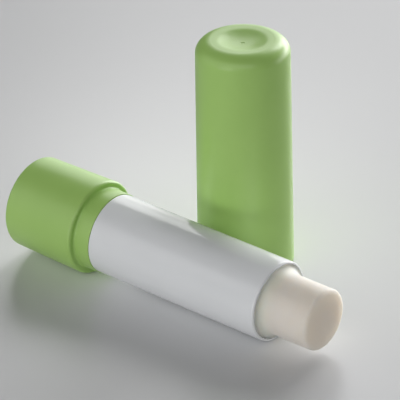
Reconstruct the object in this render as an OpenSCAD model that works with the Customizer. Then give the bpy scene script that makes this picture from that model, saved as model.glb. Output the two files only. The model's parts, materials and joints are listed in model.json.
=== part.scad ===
// Twist-up lip balm, shown open: the stick lies on its side, wound out, and the cap
// stands on its open rim beside it. Millimetres, +Z up, Z = 0 is the surface they rest on.
// The origin is the centre of the cap's mouth. The lying body points along +X.
//
// The lying pieces are drawn upright about their own axis, with height 0 at the step of
// the base and the balm's tip upwards, and are then laid down together by lie().

/* [Body] */
// Outside diameter of the cap's rim and of the base at its step
body_d = 19; // [18.5:0.5:22]
// How much narrower the cap's top and the base's closed end are, on the diameter
body_draft = 0.6; // [0:0.1:1]
// Width of the step face on which the cap's rim lands
ledge = 1.35; // [1.2:0.05:1.6]
// Rounding of the cap's rim
edge_r = 0.3; // [0.1:0.05:0.4]

/* [Cap] */
// Room between the tube's mouth and the cap's roof when the cap is on
cap_room = 1.7; // [1:0.1:4]
// Thickness of the cap's roof at its ring
cap_top = 1.8; // [1.5:0.1:2.5]
// Height of the large rounding at the cap's shoulder
shoulder_h = 2.8; // [2:0.1:3.5]
// Width of that rounding, seen from above
shoulder_w = 3.1; // [2:0.1:3.5]
// Diameter of the shallow dish in the cap's top
dish_d = 9.6; // [8:0.1:10]
// Depth of the dish
dish_depth = 0.8; // [0.3:0.1:1]
// Diameter of the moulding gate's mark in the middle of the dish
gate_d = 0.9; // [0.5:0.1:1.5]
// Clearance between the cap and the neck that it slides on
cap_fit = 0.05; // [0.02:0.01:0.1]
// Lead-in at the cap's mouth, which clears the fillet at the neck's foot
cap_lead = 0.45; // [0.3:0.05:0.6]

/* [Base] */
// Length of the wide part of the base, from its closed end to the step
base_l = 17.2; // [16.8:0.2:22]
// Wall of the wide part
base_wall = 1.4; // [1.2:0.1:1.6]
// Thickness of the closed end
base_floor = 1.6; // [1.2:0.1:2]
// Rounding of the closed end's edge, along the axis
end_h = 0.9; // [0.4:0.1:1.2]
// Rounding of the closed end's edge, across the axis
end_w = 1.2; // [0.4:0.1:2]
// Rounding of the step's outer edge
step_round = 0.6; // [0.3:0.1:0.8]
// Length of the neck that the cap slides on
neck_l = 3.6; // [3.4:0.1:5]
// Wall of the neck
neck_wall = 0.85; // [0.8:0.05:1]
// Fillet at the neck's foot
neck_fillet = 0.4; // [0.2:0.05:0.5]
// Rounding of the neck's front edge
neck_round = 0.15; // [0.1:0.05:0.3]
// Wall round the socket that holds the screw's foot
socket_wall = 1.4; // [1.2:0.1:1.8]

/* [Tube] */
// How far the neck stands out past the tube
neck_lip = 0.15; // [0.1:0.05:0.3]
// Visible length of the tube, from the neck to the mouth
tube_l = 40.4; // [36:0.1:50]
// Wall of the tube
tube_wall = 0.55; // [0.5:0.05:0.8]
// Thickness of the tube's floor
tube_floor = 1.1; // [0.9:0.1:1.5]
// Length of the spigot that turns inside the base
spigot_l = 9.6; // [9.2:0.2:10.4]
// Wall of the spigot
spigot_wall = 1; // [0.8:0.1:1.2]
// How far the spigot's snap bead stands out
bead_h = 0.3; // [0.2:0.05:0.4]
// Radius of the bead's round section
bead_r = 0.5; // [0.45:0.05:0.6]
// Height of the bead's middle above the spigot's lower end
bead_up = 1.5; // [1.2:0.1:2]
// Rounding of the mouth's outer edge
mouth_round = 0.3; // [0.15:0.05:0.3]
// Running clearance between the spigot and the base
turn_gap = 0.05; // [0.03:0.01:0.08]
// End clearance at the tube's shoulder and at its spigot
end_gap = 0.1; // [0.05:0.05:0.3]

/* [Guide] */
// Number of guide grooves inside the tube, and of lugs on the carrier
guides = 4; // [2:1:6]
// Width of a guide groove
groove_w = 1.6; // [1.4:0.1:2]
// Depth of a guide groove in the tube's wall
groove_depth = 0.25; // [0.2:0.05:0.3]
// Clearance of a lug at its sides and at its tip
lug_gap = 0.1; // [0.08:0.01:0.14]
// Height of a lug
lug_h = 3; // [2:0.1:4]

/* [Screw] */
// Outside diameter of the screw's thread
screw_d = 4; // [3.6:0.1:4.4]
// Depth of the thread
thread_depth = 0.55; // [0.4:0.05:0.7]
// Travel of the carrier for one turn of the base
lead = 6; // [5:0.5:8]
// Number of thread starts
starts = 2; // [1:1:3]
// Clearance between the screw's thread and the carrier's
thread_gap = 0.2; // [0.15:0.01:0.25]
// Diameter of the plain shaft under the thread
shaft_d = 4.6; // [4.5:0.1:5]
// Thickness of the screw's flange
flange_t = 1.2; // [1:0.1:1.5]
// Size of the screw's six-sided foot, across its corners
foot_d = 5.2; // [4.8:0.1:5.6]
// Length of the foot
foot_l = 5.5; // [4:0.5:6]
// How far the screw ends below the mouth
screw_short = 4; // [3:0.5:6]

/* [Carrier] */
// Height of the carrier's cup
carrier_h = 6; // [5.6:0.1:7]
// Wall of the cup
carrier_wall = 0.6; // [0.5:0.05:0.8]
// Thickness of the cup's plate
plate_t = 1; // [0.8:0.1:1.2]
// Height of the threaded hub, from the plate's underside
hub_h = 5; // [4:0.1:5.4]
// Wall of the hub, outside the thread
hub_wall = 1; // [0.8:0.1:1.4]
// Clearance between the cup and the tube
carrier_gap = 0.25; // [0.2:0.05:0.35]
// How far below the mouth the cup's rim stops when it is wound right up
rim_short = 2; // [1.5:0.1:4]

/* [Balm] */
// How far the tip stands out of the mouth, as shown
wound_out = 11.4; // [6:0.1:14]
// How far below the mouth the tip lies when it is wound right down
tip_below = 0.5; // [0:0.1:1]
// Gap between the balm and the tube
balm_gap = 0.05; // [0.03:0.01:0.1]
// How much smaller the stick's radius is than the foot's that fills the tube
stick_inset = 1.3; // [0.8:0.1:1.6]
// Length of the narrower stick, from the foot's edge to the tip
stick_l = 11.3; // [8:0.1:13]
// Length of the hollow flare from the foot's edge to the stick
flare_l = 2.2; // [1:0.1:3]
// Rounding of the foot's edge
foot_round = 0.1; // [0.05:0.05:0.4]
// Rounding of the tip's edge, along the axis
tip_h = 0.8; // [0.3:0.1:1.5]
// Rounding of the tip's edge, across the axis
tip_w = 1.5; // [0.3:0.1:2]
// Height of the tip's slight dome
tip_dome = 0.15; // [0:0.05:0.5]
// Clearance round the screw in the balm's bore
core_gap = 0.25; // [0.15:0.05:0.4]
// Gap that the balm leaves round the carrier's walls as it cools and shrinks
shrink_gap = 0.05; // [0.02:0.01:0.1]

/* [Placing] */
// Distance between the cap's axis and the lying body's axis
body_away = 21.2; // [20:0.1:40]
// Distance of the base's step behind the cap's axis
step_back = 19.2; // [0:0.1:30]

/* [Hidden] */
$fn = 96;
over = 0.1;

// Radii, from the outside inwards
body_r = body_d / 2;
small_r = (body_d - body_draft) / 2;
neck_r = body_r - ledge;
tube_r = neck_r - neck_lip;
bore_r = tube_r - tube_wall;
socket_r = neck_r - neck_wall;
spigot_r = socket_r - turn_gap;
carrier_r = bore_r - carrier_gap;
cup_r = carrier_r - carrier_wall;
balm_r = bore_r - balm_gap;
stick_r = balm_r - stick_inset;
hub_r = screw_d / 2 + thread_gap + hub_wall;
shaft_r = shaft_d / 2;
core_r = screw_d / 2 + core_gap;

// Heights along the body's axis, from the step
shoulder_z = neck_l + end_gap;
mouth_z = neck_l + tube_l;
floor_z = shoulder_z + tube_floor;
spigot_z = shoulder_z - spigot_l;
bead_z = spigot_z + bead_up;
flange_z = spigot_z - end_gap;
seat_z = flange_z - flange_t;
inside_z = base_floor - base_l;
screw_top_z = mouth_z - screw_short;
down_z = floor_z + end_gap;
carrier_z = down_z + wound_out + tip_below;
up_z = mouth_z - rim_short - carrier_h;
foot_edge_z = mouth_z + wound_out - stick_l;
tip_z = mouth_z + wound_out;
thread_z = floor_z - over;
core_top_z = screw_top_z + wound_out + tip_below + core_gap;

// The cap, which closes on the step
cap_h = mouth_z + cap_room + cap_top;
cap_bore_r = neck_r + cap_fit;
dish_r = dish_d / 2;
dish_curve_r = (dish_r * dish_r + dish_depth * dish_depth) / (2 * dish_depth);

// The body rests on its step and on the rim of its mouth
tilt = atan((body_r - tube_r) / (mouth_z - mouth_round + step_round));
step_up = body_r * cos(tilt) - step_round * sin(tilt);

// Points of a quarter of an ellipse with its centre at c, from angle a to angle b
function bend(c, w, h, a, b, n = 8) =
    [for (i = [0 : n]) let (t = a + (b - a) * i / n) c + [w * cos(t), h * sin(t)]];

// Section of a thread: a circle with one swelling for each start
function lobes(gap) =
    [for (t = [0 : 18 : 342])
        (screw_d / 2 + gap - thread_depth * (1 - cos(starts * t)) / 2) * [cos(t), sin(t)]];

// Left-handed thread from height z, in step with the one that starts at thread_z
module thread(z, length, gap) {
    translate([0, 0, z])
        rotate([0, 0, -360 * (z - thread_z) / lead])
            linear_extrude(height = length, twist = 360 * length / lead,
                slices = ceil(12 * length / lead), segments = len(lobes(gap)))
                polygon(lobes(gap));
}

// Lays an upright piece down, resting on the step and on the mouth's rim
module lie() {
    translate([-step_back, -body_away, step_up])
        rotate([0, 90 + tilt, 0])
            children();
}

// One bar for each guide, from the axis out to a radius
module bars(radius, width, z, length) {
    for (i = [0 : guides - 1])
        rotate([0, 0, 360 * i / guides])
            translate([bore_r / 2, -width / 2, z])
                cube([radius - bore_r / 2, width, length]);
}

// Cap: one moulded shell with a large soft shoulder and a shallow dish in its top
module cap() {
    outline = concat(
        [[0, 0]],
        bend([body_r - edge_r, edge_r], edge_r, edge_r, -90, 0),
        bend([small_r - shoulder_w, cap_h - shoulder_h], shoulder_w, shoulder_h, 0, 90, 16),
        [[0, cap_h]]);
    color("yellowgreen")
        difference() {
            rotate_extrude() polygon(outline);
            translate([0, 0, -over])
                cylinder(r = cap_bore_r, h = cap_h - cap_top + over);
            translate([0, 0, -over])
                cylinder(r1 = cap_bore_r + cap_lead + over, r2 = cap_bore_r,
                    h = cap_lead + over);
            translate([0, 0, cap_h - dish_depth + dish_curve_r])
                sphere(r = dish_curve_r, $fn = 128);
            translate([0, 0, cap_h - dish_depth - over])
                cylinder(d = gate_d, h = dish_depth);
        }
}

// Base: the knob that is turned, with the neck for the cap and a socket for the screw
module base() {
    outline = concat(
        [[0, -base_l]],
        bend([small_r - end_w, end_h - base_l], end_w, end_h, -90, 0),
        bend([body_r - step_round, -step_round], step_round, step_round, 0, 90),
        bend([neck_r + neck_fillet, neck_fillet], neck_fillet, neck_fillet, 270, 180),
        bend([neck_r - neck_round, neck_l - neck_round], neck_round, neck_round, 0, 90),
        [[0, neck_l]]);
    color("yellowgreen")
        lie()
            difference() {
                rotate_extrude() polygon(outline);
                translate([0, 0, seat_z])
                    cylinder(r = socket_r, h = neck_l - seat_z + over);
                rotate_extrude()
                    translate([spigot_r - bead_r + bead_h, bead_z])
                        circle(r = bead_r + end_gap);
                difference() {
                    translate([0, 0, inside_z])
                        cylinder(r = small_r - base_wall, h = seat_z - inside_z);
                    cylinder(r = foot_d / 2 + socket_wall, h = 2 * base_l, center = true);
                }
                translate([0, 0, seat_z - foot_l - end_gap])
                    cylinder(d = foot_d + 2 * shrink_gap, h = foot_l + 2 * end_gap, $fn = 6);
            }
}

// Tube: holds the balm, guides the carrier and turns in the base on its spigot
module tube() {
    color("whitesmoke")
        lie()
            difference() {
                rotate_extrude() {
                    polygon(concat(
                        [[shaft_r + lug_gap, shoulder_z], [spigot_r - spigot_wall, shoulder_z]],
                        [[spigot_r - spigot_wall, spigot_z], [spigot_r - bead_h, spigot_z]],
                        [[spigot_r, spigot_z + bead_h], [spigot_r, shoulder_z]],
                        [[tube_r, shoulder_z]],
                        bend([tube_r - mouth_round, mouth_z - mouth_round],
                            mouth_round, mouth_round, 0, 90),
                        [[bore_r, mouth_z], [bore_r, floor_z], [shaft_r + lug_gap, floor_z]]));
                    translate([spigot_r - bead_r + bead_h, bead_z])
                        circle(r = bead_r);
                }
                bars(bore_r + groove_depth, groove_w, floor_z, up_z + lug_h + end_gap - floor_z);
            }
}

// Spindle: the screw that turns with the base and drives the carrier
module spindle() {
    color("gainsboro")
        lie() {
            translate([0, 0, seat_z - foot_l])
                cylinder(d = foot_d, h = foot_l + over, $fn = 6);
            translate([0, 0, seat_z])
                cylinder(r = socket_r - lug_gap, h = flange_t);
            translate([0, 0, seat_z])
                cylinder(r = shaft_r, h = floor_z - seat_z);
            thread(thread_z, screw_top_z - thread_z, 0);
        }
}

// Carrier: the cup that lifts the balm, kept from turning by its lugs
module carrier() {
    color("gainsboro")
        lie()
            difference() {
                union() {
                    translate([0, 0, carrier_z])
                        difference() {
                            cylinder(r = carrier_r, h = carrier_h);
                            translate([0, 0, plate_t])
                                cylinder(r = cup_r, h = carrier_h);
                        }
                    translate([0, 0, carrier_z])
                        cylinder(r = hub_r, h = hub_h);
                    difference() {
                        bars(bore_r + groove_depth - lug_gap, groove_w - 2 * lug_gap,
                            carrier_z, lug_h);
                        translate([0, 0, carrier_z - over])
                            cylinder(r = cup_r + carrier_wall / 2, h = carrier_h);
                    }
                }
                thread(carrier_z - over, hub_h + 2 * over, thread_gap);
            }
}

// Balm: cast in one piece, a foot that fills the tube and a narrower stick
module balm() {
    outline = concat(
        [[0, carrier_z + plate_t], [cup_r - shrink_gap, carrier_z + plate_t]],
        [[cup_r - shrink_gap, carrier_z + carrier_h], [balm_r, carrier_z + carrier_h]],
        bend([balm_r - foot_round, foot_edge_z - foot_round], foot_round, foot_round, 0, 90),
        bend([balm_r - foot_round, foot_edge_z + flare_l],
            stick_inset - foot_round, flare_l, 270, 180, 12),
        bend([stick_r - tip_w, tip_z - tip_dome - tip_h], tip_w, tip_h, 0, 90),
        [[0, tip_z]]);
    color("wheat")
        lie()
            difference() {
                rotate_extrude() polygon(outline);
                translate([0, 0, carrier_z])
                    cylinder(r = hub_r + shrink_gap, h = hub_h);
                translate([0, 0, carrier_z])
                    cylinder(r = core_r, h = core_top_z - carrier_z);
            }
}

cap();
base();
tube();
spindle();
carrier();
balm();
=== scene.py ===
"""A twist-up lip balm, open: the stick lies wound out and its cap stands behind it."""

import json
import math

import bpy
import numpy as np
from mathutils import Matrix, Vector


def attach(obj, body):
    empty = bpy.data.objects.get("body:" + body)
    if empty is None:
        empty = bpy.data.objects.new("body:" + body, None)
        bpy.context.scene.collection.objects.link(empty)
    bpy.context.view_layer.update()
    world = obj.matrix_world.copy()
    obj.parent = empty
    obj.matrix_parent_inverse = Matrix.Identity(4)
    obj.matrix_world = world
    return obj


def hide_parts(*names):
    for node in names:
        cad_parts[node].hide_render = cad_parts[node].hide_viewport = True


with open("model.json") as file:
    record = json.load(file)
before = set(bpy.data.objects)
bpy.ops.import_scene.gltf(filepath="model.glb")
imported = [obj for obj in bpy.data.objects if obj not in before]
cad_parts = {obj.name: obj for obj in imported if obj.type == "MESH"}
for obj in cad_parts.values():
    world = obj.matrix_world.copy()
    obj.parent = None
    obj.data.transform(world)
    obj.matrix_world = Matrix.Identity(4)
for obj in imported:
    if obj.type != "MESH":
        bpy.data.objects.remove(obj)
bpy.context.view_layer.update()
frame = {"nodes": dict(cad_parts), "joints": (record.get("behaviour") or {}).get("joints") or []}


# Base: the knob that is turned, with the neck that the cap slides on.
# It is one moulding in semi-matt green polypropylene. The tube's bead snaps into the groove
# in its bore, and the screw's six-sided foot is pressed into its socket.

MM = 0.001
twist = next(joint for joint in frame["joints"] if joint["name"] == "base_twist")
step_centre = np.array(twist["pos_m"])
stick_up = np.array(twist["axis"])
stick_side = np.array([0.0, 1.0, 0.0])
stick_front = np.cross(stick_side, stick_up)

BODY_R = 9.5
SMALL_R = 9.2
NECK_R = 8.15
NECK_L = 3.6
BASE_L = 17.2
STEP_ROUND = 0.6
END_ROUND_W = 1.2
END_ROUND_H = 0.9
SEAT_Z = -7.2
SOCKET_R = 7.3
FOOT_R = 2.65
FOOT_END_Z = -12.8
CORE_R = 4.0
WALL_INSIDE_R = 7.8
HOLLOW_END_Z = -15.6
GROOVE_Z = -4.4
GROOVE_BEND = 0.6
GROOVE_SINK = 0.25
GROOVE_SPREAD = 65.4


def laid_down(x, y, z):
    """Millimetres about the upright stick's axis, with height 0 at the base's step, become
    metres in the lying stick: step centre + x front + y side + z up, in its own directions."""
    return step_centre + MM * (
        x[..., None] * stick_front + y[..., None] * stick_side + z[..., None] * stick_up
    )


def bend(centre, width, height, start, end, steps=12):
    """Part of an ellipse: centre + (width cos a, height sin a), from angle start to end."""
    angle = np.radians(np.linspace(start, end, steps + 1))
    return np.stack([centre[0] + width * np.cos(angle), centre[1] + height * np.sin(angle)], 1)


def outline(*corners):
    """A profile in radius and height. A corner with a third number is rounded by that radius R:
    with both sides at an angle that makes the path turn by t, the arc's centre lies R / cos(t/2)
    along the bisector. One more point outside each end of the arc keeps the sides flat."""
    runs = [np.atleast_2d(corner).astype(float) for corner in corners]
    made = []
    for i, run in enumerate(runs):
        if run.shape[1] == 2:
            made.append(run)
            continue
        corner = run[0, :2]
        rounding = run[0, 2]
        back = runs[i - 1][-1, :2] - corner
        ahead = runs[(i + 1) % len(runs)][0, :2] - corner
        back /= np.linalg.norm(back)
        ahead /= np.linalg.norm(ahead)
        turn = math.pi - math.acos(back @ ahead)
        touch = rounding * math.tan(turn / 2)
        middle = (back + ahead) / np.linalg.norm(back + ahead)
        centre = corner + middle * rounding / math.cos(turn / 2)
        share = np.linspace(0, 1, 7)[:, None]
        first = np.sin((1 - share) * turn) * (corner + back * touch - centre)
        last = np.sin(share * turn) * (corner + ahead * touch - centre)
        arc = centre + (first + last) / math.sin(turn)
        spare = touch + rounding / 4
        made += [[corner + back * spare], arc, [corner + ahead * spare]]
    return np.concatenate(made)


def turned(name, profile, place, angles, swell=0.0):
    """Carries a profile round an axis: step i at angle t is (r cos t, r sin t, height i), where
    r is radius i plus the swell. A profile that starts on the axis closes in one point at each
    end, and any other closes on itself. Run outwards and down, its faces point outwards."""
    closed = profile[0, 0] > 0
    rings = slice(None) if closed else slice(1, -1)
    radius = (profile[:, :1] + swell + 0 * angles)[rings]
    height = (profile[:, 1:] + 0 * angles)[rings]
    points = place(radius * np.cos(angles), radius * np.sin(angles), height).reshape(-1, 3)
    rows, columns = radius.shape
    row, column = np.meshgrid(
        np.arange(rows if closed else rows - 1), np.arange(columns), indexing="ij"
    )
    below = (row + 1) % rows
    beside = (column + 1) % columns
    faces = np.stack(
        [
            row * columns + column,
            below * columns + column,
            below * columns + beside,
            row * columns + beside,
        ],
        axis=-1,
    ).reshape(-1, 4).tolist()
    if not closed:
        axis_points = place(np.zeros(2), np.zeros(2), profile[[0, -1], 1])
        points = np.concatenate([points, axis_points])
        near = np.arange(columns)
        far = (near + 1) % columns
        top = np.stack([near * 0 + rows * columns, near, far], 1)
        last = (rows - 1) * columns
        bottom = np.stack([last + near, near * 0 + rows * columns + 1, last + far], 1)
        faces += top.tolist() + bottom.tolist()
    mesh = bpy.data.meshes.new(name)
    mesh.from_pydata(points.tolist(), [], faces)
    mesh.shade_smooth()
    piece = bpy.data.objects.new(name, mesh)
    bpy.context.scene.collection.objects.link(piece)
    return piece


class Strand:
    """One output socket in a material or the world. Arithmetic on it adds Math nodes."""

    def __init__(self, tree, socket=None):
        self.tree = tree
        self.socket = socket

    def node(self, kind, settings=None, inputs=None, output=0):
        """Adds a node: its settings first, then its sockets' values or links."""
        made = self.tree.nodes.new(kind)
        for name, value in (settings or {}).items():
            setattr(made, name, value)
        for name, value in (inputs or {}).items():
            if isinstance(value, Strand):
                self.tree.links.new(value.socket, made.inputs[name])
            else:
                made.inputs[name].default_value = value
        return Strand(self.tree, made.outputs[output] if len(made.outputs) else None)

    def maths(self, operation, *values):
        """Adds a Math node with these values or links."""
        return self.node("ShaderNodeMath", {"operation": operation}, dict(enumerate(values)))

    def __add__(self, other):
        return self.maths("ADD", self, other)

    def __sub__(self, other):
        return self.maths("SUBTRACT", self, other)

    def __rsub__(self, other):
        return self.maths("SUBTRACT", other, self)

    def __mul__(self, other):
        return self.maths("MULTIPLY", self, other)

    __radd__ = __add__
    __rmul__ = __mul__


def grain(here, scale, detail=2.0, roughness=0.5):
    """Noise from about 0 to 1 on the piece's own coordinates, scale features to the metre."""
    return here.node(
        "ShaderNodeTexNoise",
        {"noise_dimensions": "3D"},
        {"Vector": here, "Scale": scale, "Detail": detail, "Roughness": roughness},
    )


def between(share, first, second):
    """A colour that goes from the first to the second as share goes from 0 to 1."""
    first, second = [
        colour if isinstance(colour, Strand) else (*colour, 1) for colour in (first, second)
    ]
    return share.node(
        "ShaderNodeMix", {"data_type": "RGBA"}, {0: share, 6: first, 7: second}, output=2
    )


def finish(name):
    """A new material and the piece's own coordinates in it."""
    material = bpy.data.materials.new(name)
    material.use_nodes = True
    material.node_tree.nodes.clear()
    return material, Strand(material.node_tree).node("ShaderNodeTexCoord", output="Object")


def close_finish(here, sockets):
    """Ends a material with one Principled shader that has these values and links."""
    shader = here.node("ShaderNodeBsdfPrincipled", None, sockets)
    here.node("ShaderNodeOutputMaterial", None, {"Surface": shader})


soft_green, here = finish("soft_green")
cloud = grain(here, 180.0)
fine = grain(here, 5200.0, 3.0, 0.6)
close_finish(
    here,
    {
        "Base Color": between(cloud, (0.365, 0.595, 0.155), (0.4, 0.63, 0.172)),
        "Roughness": 0.33 + 0.06 * fine,
        "IOR": 1.5,
        "Normal": here.node(
            "ShaderNodeBump",
            None,
            {"Strength": 0.25, "Distance": 0.00004, "Height": fine},
        ),
    },
)

groove = bend(
    (SOCKET_R - GROOVE_SINK, GROOVE_Z), GROOVE_BEND, GROOVE_BEND, -GROOVE_SPREAD, GROOVE_SPREAD
)
base_profile = outline(
    (0, FOOT_END_Z),
    (FOOT_R, FOOT_END_Z, 0.1),
    (FOOT_R, SEAT_Z, 0.1),
    (CORE_R, SEAT_Z, 0.15),
    (CORE_R, HOLLOW_END_Z, 0.4),
    (WALL_INSIDE_R, HOLLOW_END_Z, 0.4),
    (WALL_INSIDE_R, SEAT_Z, 0.08),
    (SOCKET_R, SEAT_Z, 0.05),
    groove,
    (SOCKET_R, NECK_L, 0.12),
    (NECK_R, NECK_L, 0.1),
    (NECK_R, 0, 0.4),
    (BODY_R, 0, STEP_ROUND),
    bend(
        (SMALL_R - END_ROUND_W, END_ROUND_H - BASE_L), END_ROUND_W, END_ROUND_H, 0, -90, 16
    ),
    (CORE_R, -BASE_L),
    (0, -BASE_L),
)
around = np.linspace(0, 2 * math.pi, 240, endpoint=False)

# The socket for the foot is six-sided: t degrees past a corner, up to 60, its radius is
# r cos 30 / cos (t - 30).
six_sided = FOOT_R * (math.cos(math.pi / 6) / np.cos((around % (math.pi / 3)) - math.pi / 6) - 1)
in_socket = (base_profile[:, 0] < FOOT_R + 0.01) & (base_profile[:, 1] > FOOT_END_Z - 0.01)
in_socket &= base_profile[:, 1] < SEAT_Z + 0.01
turning_base = turned(
    "turning_base",
    base_profile,
    laid_down,
    around,
    np.where(in_socket[:, None], six_sided * base_profile[:, :1] / FOOT_R, 0),
)
turning_base.data.materials.append(soft_green)
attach(turning_base, "turning_base")
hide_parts("base")


# Spindle: the screw that the base turns inside the balm.
# It is moulded in unpigmented polypropylene and pressed into the base's socket. Its CAD solid
# already has the thread, so that stays and gets the milky plastic.

milky, here = finish("milky_plastic")
cloud = grain(here, 240.0)
fine = grain(here, 3000.0)
close_finish(
    here,
    {
        "Base Color": between(cloud, (0.76, 0.76, 0.71), (0.82, 0.82, 0.78)),
        "Roughness": 0.3 + 0.12 * fine,
        "Subsurface Weight": 0.4,
        "Subsurface Radius": (1.0, 0.95, 0.85),
        "Subsurface Scale": 0.0015,
        "Normal": here.node(
            "ShaderNodeBump",
            None,
            {"Strength": 0.2, "Distance": 0.00005, "Height": fine},
        ),
    },
)
spindle = frame["nodes"]["spindle"]
spindle.data.materials.clear()
spindle.data.materials.append(milky)


# Tube: the white sleeve that holds the balm and guides the carrier.
# It is one glossy polypropylene moulding, with a floor, a spigot whose bead snaps into the
# base so that it can turn, and four grooves inside for the carrier's lugs.

TUBE_R = 8.0
BORE_R = 7.45
MOUTH_Z = 44.0
SHOULDER_Z = 3.64
FLOOR_Z = 4.8
SPIGOT_R = 7.25
SPIGOT_INSIDE_R = 6.25
SPIGOT_Z = -5.9
SPIGOT_LEAD_IN = 0.3
BEAD_BEND = 0.5
BEAD_SINK = 0.2
BEAD_SPREAD = 66.4
HOLE_R = 2.4
GUIDE_W = 1.6
GUIDE_DEPTH = 0.25
GUIDE_TOP = 39.1
GUIDE_END = 0.02
GUIDE_SIDE = 0.001

gloss_white, here = finish("gloss_white")
cloud = grain(here, 90.0)
fine = grain(here, 900.0, 1.0)
close_finish(
    here,
    {
        "Base Color": between(cloud, (0.795, 0.81, 0.825), (0.825, 0.84, 0.855)),
        "Roughness": 0.14 + 0.04 * cloud,
        "IOR": 1.49,
        "Subsurface Weight": 0.1,
        "Subsurface Radius": (1.0, 1.0, 1.0),
        "Subsurface Scale": 0.0006,
        "Normal": here.node(
            "ShaderNodeBump",
            None,
            {"Strength": 0.03, "Distance": 0.00005, "Height": fine},
        ),
    },
)

bead = bend((SPIGOT_R - BEAD_SINK, GROOVE_Z), BEAD_BEND, BEAD_BEND, BEAD_SPREAD, -BEAD_SPREAD)
tube_profile = outline(
    (TUBE_R, MOUTH_Z, 0.42),
    (TUBE_R, SHOULDER_Z, 0.04),
    (SPIGOT_R, SHOULDER_Z, 0.08),
    bead,
    (SPIGOT_R, SPIGOT_Z + SPIGOT_LEAD_IN, 0.05),
    (SPIGOT_R - SPIGOT_LEAD_IN, SPIGOT_Z, 0.05),
    (SPIGOT_INSIDE_R, SPIGOT_Z, 0.2),
    (SPIGOT_INSIDE_R, SHOULDER_Z, 0.3),
    (HOLE_R, SHOULDER_Z, 0.1),
    (HOLE_R, FLOOR_Z, 0.1),
    (BORE_R, FLOOR_Z, 0.03),
    (BORE_R, GUIDE_TOP - GUIDE_END),
    (BORE_R, GUIDE_TOP),
    (BORE_R, MOUTH_Z, 0.04),
)

# Each quarter turn has nine angles across a guide groove, then 55 up to the next one. The
# swell widens the bore there, from the floor up to the guide's top.
half_guide = 0.5 * GUIDE_W / BORE_R
quarter = np.concatenate(
    [
        np.linspace(-half_guide, half_guide, 9),
        np.linspace(half_guide + GUIDE_SIDE, math.pi / 2 - half_guide - GUIDE_SIDE, 55),
    ]
)
tube_angles = np.concatenate([quarter + i * math.pi / 2 for i in range(4)])
across_guide = np.tile(np.arange(len(quarter)) < 9, 4)
along_guide = (tube_profile[:, 0] > BORE_R - 0.01) & (tube_profile[:, 0] < BORE_R + 0.01)
along_guide &= (tube_profile[:, 1] > FLOOR_Z - 0.01) & (tube_profile[:, 1] < GUIDE_TOP - 0.01)
tube = turned(
    "white_tube",
    tube_profile,
    laid_down,
    tube_angles,
    np.where(along_guide[:, None] & across_guide, GUIDE_DEPTH, 0),
)
tube.data.materials.append(gloss_white)
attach(tube, "tube_and_cap")
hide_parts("tube")


# Carrier: the cup inside the tube that the screw drives up and down with the balm.
# It is moulded in the spindle's milky plastic, with a threaded hub and four lugs that run in
# the tube's grooves. Its CAD solid already has these, so it stays.

carrier = frame["nodes"]["carrier"]
carrier.data.materials.clear()
carrier.data.materials.append(milky)


# Balm: wax and oils, cast in one piece over the carrier's cup.
# Its foot fills the tube, a hollow flare at the mouth leads to the narrower stick, and the
# tip is nearly flat with a soft edge. The screw leaves a bore up its middle.

BALM_R = 7.4
STICK_R = 6.1
FOOT_EDGE_Z = 44.05
FOOT_ROUND = 0.04
FLARE_L = 2.2
TIP_Z = 55.37
TIP_W = 1.5
TIP_H = 0.8
TIP_EDGE_DROP = 1.146
DOME_H = 0.3
DOME_R = 5.13
CUP_TOP_Z = 22.8
CUP_INSIDE_R = 6.55
CUP_FLOOR_Z = 17.8
HUB_R = 3.25
HUB_TOP_Z = 21.8
SCREW_HOLE_R = 2.25
SCREW_HOLE_Z = 52.15

wax, here = finish("wax")
cloud = grain(here, 260.0, 4.0, 0.6)
fine = grain(here, 2200.0, 3.0, 0.6)

# The wax's colour is painted paler and yellower where it meets the mouth. This painted glow
# stands in for light through the wax and lifts the shade in the hollow flare. The tip is painted
# darker and browner, which is painted shade on the end that faces away from the lamps. Both
# follow the distance along the stick, in metres.
along = here.node(
    "ShaderNodeVectorMath", {"operation": "DOT_PRODUCT"}, {0: here, 1: (1, 0, -0.034)}, output=1
)
past_mouth = (along - 0.0245) * 570
# Painted glow: paler, yellower wax within about two millimetres of the mouth.
mouth_painted_glow = here.maths("EXPONENT", 0 - past_mouth * past_mouth)
# Painted shade: darker, browner wax towards the tip's end face.
tip_painted_shade = here.maths("EXPONENT", (along - 0.0355) * 700)
close_finish(
    here,
    {
        "Base Color": between(
            tip_painted_shade,
            between(
                mouth_painted_glow,
                between(cloud, (0.78, 0.725, 0.655), (0.83, 0.775, 0.715)),
                (0.92, 0.9, 0.76),
            ),
            (0.76, 0.69, 0.6),
        ),
        "Roughness": 0.42 + 0.16 * fine,
        "IOR": 1.44,
        "Subsurface Weight": 1.0,
        "Subsurface Radius": (1.0, 0.93, 0.83),
        "Subsurface Scale": 0.005,
        "Normal": here.node(
            "ShaderNodeBump",
            None,
            {"Strength": 0.3, "Distance": 0.00008, "Height": cloud + 0.4 * fine},
        ),
    },
)

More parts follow.
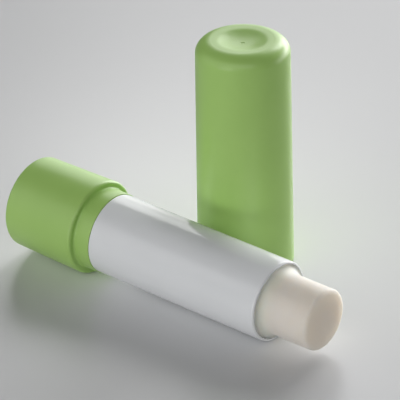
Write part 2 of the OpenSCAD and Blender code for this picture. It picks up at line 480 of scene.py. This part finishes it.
dome = np.linspace(0, DOME_R, 26)
balm_profile = outline(
    np.stack([dome, TIP_Z - DOME_H * (dome / (STICK_R - TIP_W)) ** 2.6], 1),
    bend((STICK_R - TIP_W, TIP_Z - TIP_EDGE_DROP), TIP_W, TIP_H, 69, 0, 16),
    bend(
        (BALM_R - FOOT_ROUND, FOOT_EDGE_Z + FLARE_L),
        BALM_R - FOOT_ROUND - STICK_R,
        FLARE_L,
        180,
        270,
        24,
    ),
    bend((BALM_R - FOOT_ROUND, FOOT_EDGE_Z - FOOT_ROUND), FOOT_ROUND, FOOT_ROUND, 84, 0, 6),
    (BALM_R, CUP_TOP_Z, 0.1),
    (CUP_INSIDE_R, CUP_TOP_Z, 0.05),
    (CUP_INSIDE_R, CUP_FLOOR_Z, 0.1),
    (HUB_R, CUP_FLOOR_Z, 0.1),
    (HUB_R, HUB_TOP_Z, 0.1),
    (SCREW_HOLE_R, HUB_TOP_Z, 0.1),
    (SCREW_HOLE_R, SCREW_HOLE_Z, 0.3),
    (0, SCREW_HOLE_Z),
)
balm = turned("wax_balm", balm_profile, laid_down, around)
balm.data.materials.append(wax)
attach(balm, "rising_balm")
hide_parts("balm")


# Cap: pulled off and stood on its rim behind the stick.
# It is one moulding in the base's semi-matt green plastic, with a large soft shoulder, and in
# its top a shallow dish with the mark that the moulding gate left.

CAP_H = 47.5
SHOULDER_W = 3.1
SHOULDER_H = 2.8
DISH_R = 4.8
DISH_DEPTH = 0.8
DISH_EDGE = 0.15
GATE_R = 0.36
GATE_EDGE_R = 0.46
GATE_DEPTH = 0.1
RIM_ROUND = 0.3
CAP_BORE_R = 8.2
LEAD_IN = 0.45
ROOF_Z = 45.7


def stood_up(x, y, z):
    """Millimetres about the standing cap's axis, in metres."""
    return MM * np.stack([x, y, z], axis=-1)


# The dish is a paraboloid with depth h = deepest (1 - (r / its radius)^2). Half the sum of h
# and the root of h^2 + edge^2 comes off the cap's height, which blends it into the flat rim.
across = np.linspace(0.6, SMALL_R - SHOULDER_W, 40)
hollow = DISH_DEPTH * (1 - (across / DISH_R) ** 2)
dish = CAP_H - (hollow + np.sqrt(hollow**2 + DISH_EDGE**2)) / 2
cap_profile = outline(
    (0, dish[0] - GATE_DEPTH),
    (GATE_R, dish[0] - GATE_DEPTH, 0.05),
    (GATE_EDGE_R, dish[0], 0.06),
    np.stack([across, dish], 1),
    bend((SMALL_R - SHOULDER_W, CAP_H - SHOULDER_H), SHOULDER_W, SHOULDER_H, 88, 0, 32),
    (BODY_R, 0, RIM_ROUND),
    (CAP_BORE_R + LEAD_IN, 0, 0.05),
    (CAP_BORE_R, LEAD_IN, 0.1),
    (CAP_BORE_R, ROOF_Z, 0.4),
    (0, ROOF_Z),
)
cap = turned("cap_shell", cap_profile, stood_up, around)
cap.data.materials.append(soft_green)
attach(cap, "tube_and_cap")
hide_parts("cap")


# Stage: a pale paper floor with a painted pool of light round the object, darker towards its
# edges, large soft lamps on all sides with the strongest behind, a pale backdrop that only the
# camera sees, and the camera.

floor_mesh = bpy.data.meshes.new("floor")
floor_mesh.from_pydata([(-1, -1, 0), (1, -1, 0), (1, 1, 0), (-1, 1, 0)], [], [(0, 1, 2, 3)])
floor = bpy.data.objects.new("floor", floor_mesh)
bpy.context.scene.collection.objects.link(floor)
paper, here = finish("pale_paper")
# Painted light: the floor's colour is painted lighter in an oval pool round the object and
# darker away from it.
away = here.node(
    "ShaderNodeMapping",
    {"vector_type": "TEXTURE"},
    {
        "Vector": here,
        "Location": (-0.02, 0.01, 0),
        "Rotation": (0, 0, math.radians(37)),
        "Scale": (0.044, 0.066, 1),
    },
)
away = away.node(
    "ShaderNodeVectorMath", {"operation": "DOT_PRODUCT"}, {0: away, 1: away}, output=1
)
painted_light_pool = here.maths("EXPONENT", 0 - away)
close_finish(
    here,
    {
        "Base Color": between(painted_light_pool, (0.51, 0.515, 0.522), (0.855, 0.86, 0.868)),
        "Roughness": 0.32,
    },
)
floor_mesh.materials.append(paper)

# Each lamp fills a patch of the sky around the middle of the object. Start and end are
# degrees round it, 0 towards -Y and 90 towards +X, and low and high are degrees up. Front is
# -Y and right is +X in their names.
middle = Vector((-0.0102, -0.0015, 0.01005))
distance = 1.5
for name, start, end, low, high, radiance in (
    ("back_light", 180, 200, 0, 43, 9.3),
    ("back_right_light", 160, 180, 0, 18, 11.0),
    ("back_left_light", 200, 222, 0, 24, 2.0),
    ("back_left_high_light", 200, 230, 24, 43, 3.1),
    ("right_low_light", 125, 160, 0, 14, 4.1),
    ("front_low_light", -22, 22, 0, 11, 4.5),
    ("front_left_light", 288, 328, 0, 41, 0.85),
    ("front_high_light", -25, 25, 24, 45, 1.9),
    ("front_right_high_light", 25, 65, 20, 43, 2.2),
):
    azimuth = math.radians((start + end) / 2)
    elevation = math.radians((low + high) / 2)
    way = Vector(
        (
            math.sin(azimuth) * math.cos(elevation),
            -math.cos(azimuth) * math.cos(elevation),
            math.sin(elevation),
        )
    )
    light = bpy.data.lights.new(name, "AREA")
    light.shape = "RECTANGLE"
    light.size = 2 * distance * math.tan(math.radians((end - start) / 2)) * math.cos(elevation)
    light.size_y = 2 * distance * math.tan(math.radians((high - low) / 2))
    light.energy = radiance * math.pi * light.size * light.size_y
    lamp = bpy.data.objects.new(name, light)
    bpy.context.scene.collection.objects.link(lamp)
    lamp.location = middle + distance * way
    lamp.rotation_euler = way.to_track_quat("Z", "Y").to_euler()

world = bpy.data.worlds.new("studio")
bpy.context.scene.world = world
world.use_nodes = True
world.node_tree.nodes.clear()
studio = Strand(world.node_tree)
seen = studio.node("ShaderNodeLightPath")
backdrop = studio.node(
    "ShaderNodeBackground",
    None,
    {"Color": (0.8, 0.82, 0.84, 1), "Strength": 0.02 + 0.58 * seen},
)
studio.node("ShaderNodeOutputWorld", None, {"Surface": backdrop})

CAMERA_ROUND = 39.549
CAMERA_DOWN = 28.109
CAMERA_ROLL = 1.272
CAMERA_AWAY = 0.6913

lens = bpy.data.cameras.new("camera")
lens.lens = 315.05
lens.clip_end = 10
camera = bpy.data.objects.new("camera", lens)
bpy.context.scene.collection.objects.link(camera)
camera.matrix_world = (
    Matrix.Translation(middle)
    @ Matrix.Rotation(math.radians(CAMERA_ROUND), 4, "Z")
    @ Matrix.Rotation(math.radians(90 - CAMERA_DOWN), 4, "X")
    @ Matrix.Rotation(math.radians(-CAMERA_ROLL), 4, "Z")
    @ Matrix.Translation((0, 0, CAMERA_AWAY))
)
bpy.context.scene.camera = camera
bpy.context.scene.view_settings.view_transform = "Standard"
